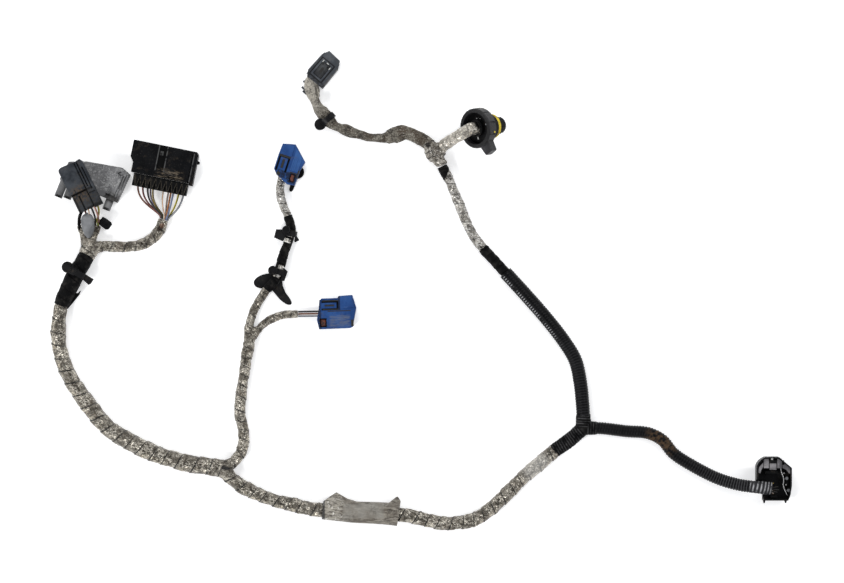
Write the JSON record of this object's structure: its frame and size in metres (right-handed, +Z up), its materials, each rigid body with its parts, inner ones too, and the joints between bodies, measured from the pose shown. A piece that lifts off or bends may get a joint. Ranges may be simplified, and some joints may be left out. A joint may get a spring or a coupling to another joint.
{
  "type": "vehicle wiring harness",
  "caption": "Vehicle wiring harness laid flat: foil-wrapped branches, corrugated tubes, taped junctions, clips, moulded connectors and a round bayonet connector.",
  "frame": {"origin": "middle of the harness's box, on the surface it lies on", "axes": "+X along the longest extent, +Y away from the viewer of the picture's lower edge, +Z up from the surface"},
  "size_m": [0.7388, 0.4777, 0.0466],
  "materials": {
    "black_plastic": "satin moulded, dusty",
    "slate_plastic": "satin moulded, dusty",
    "grey_plastic": "satin moulded",
    "blue_plastic": "satin moulded, scuffed",
    "orange_seal": "soft silicone",
    "yellow_seal": "soft silicone",
    "spring_steel": "bright",
    "foil": "wrapped foil tape, creased, dirty",
    "braid": "woven sleeve, dirty",
    "grey_wrap": "wrapped tape",
    "wire_plastic": "wire insulation in several colours",
    "loom_plastic": "corrugated, slightly shiny",
    "cloth_tape": "black tape",
    "label_paper": "bare label, worn"
  },
  "bodies": {
    "harness": {"black_housing": "black_plastic", "black_wire_comb": "black_plastic", "small_plug": "black_plastic", "blue_one_slide": "black_plastic", "top_lock": "black_plastic", "right_housing": "black_plastic", "bayonet_plug": "black_plastic", "left_clip": "black_plastic", "blue_upper_clip": "black_plastic", "blue_lower_clip": "black_plastic", "top_clip": "black_plastic", "slate_housing": "slate_plastic", "slate_cover": "slate_plastic", "top_housing": "slate_plastic", "grey_housing": "grey_plastic", "blue_one_housing": "blue_plastic", "blue_two_housing": "blue_plastic", "blue_one_seal": "orange_seal", "blue_two_seal": "orange_seal", "bayonet_seal": "yellow_seal", "right_blade": "spring_steel", "trunk_sleeve_left": "foil", "trunk_sleeve_right": "foil", "blue_branch_sleeve": "foil", "blue_one_sleeve_lower": "foil", "blue_one_sleeve_upper": "foil", "blue_two_sleeve": "foil", "black_connector_sleeve": "foil", "upper_sleeve": "foil", "bayonet_sleeve": "foil", "left_junction_wrap": "foil", "trunk_junction_wrap": "foil", "blue_junction_wrap": "foil", "upper_junction_wrap": "foil", "top_sleeve": "braid", "right_wire_wrap": "grey_wrap", "grey_connector_wires": "wire_plastic", "corrugated_tube_upper": "loom_plastic", "corrugated_tube_right": "loom_plastic", "left_tape": "cloth_tape", "blue_one_tape": "cloth_tape", "upper_tube_tape": "cloth_tape", "upper_tape_patch": "cloth_tape", "right_junction_tape": "cloth_tape", "trunk_label": "label_paper", "black_wire_1": "wire_plastic", "black_wire_2": "wire_plastic", "black_wire_3": "wire_plastic", "black_wire_4": "wire_plastic", "black_wire_5": "wire_plastic", "black_wire_6": "wire_plastic", "black_wire_7": "wire_plastic", "black_wire_8": "wire_plastic", "black_wire_9": "wire_plastic", "black_wire_10": "wire_plastic", "black_wire_11": "wire_plastic", "blue_two_wire_1": "wire_plastic", "blue_two_wire_2": "wire_plastic", "blue_two_wire_3": "wire_plastic"},
    "turning_ring": {"bayonet_ring": "black_plastic"}
  },
  "joints": [
    {"name": "bayonet_ring_turn", "type": "hinge", "parent": "harness", "child": "turning_ring", "pos_m": [0.0524, 0.1624, 0.0337], "axis": [0.6688, 0.1119, -0.735], "range_deg": [0, 50]}
  ]
}
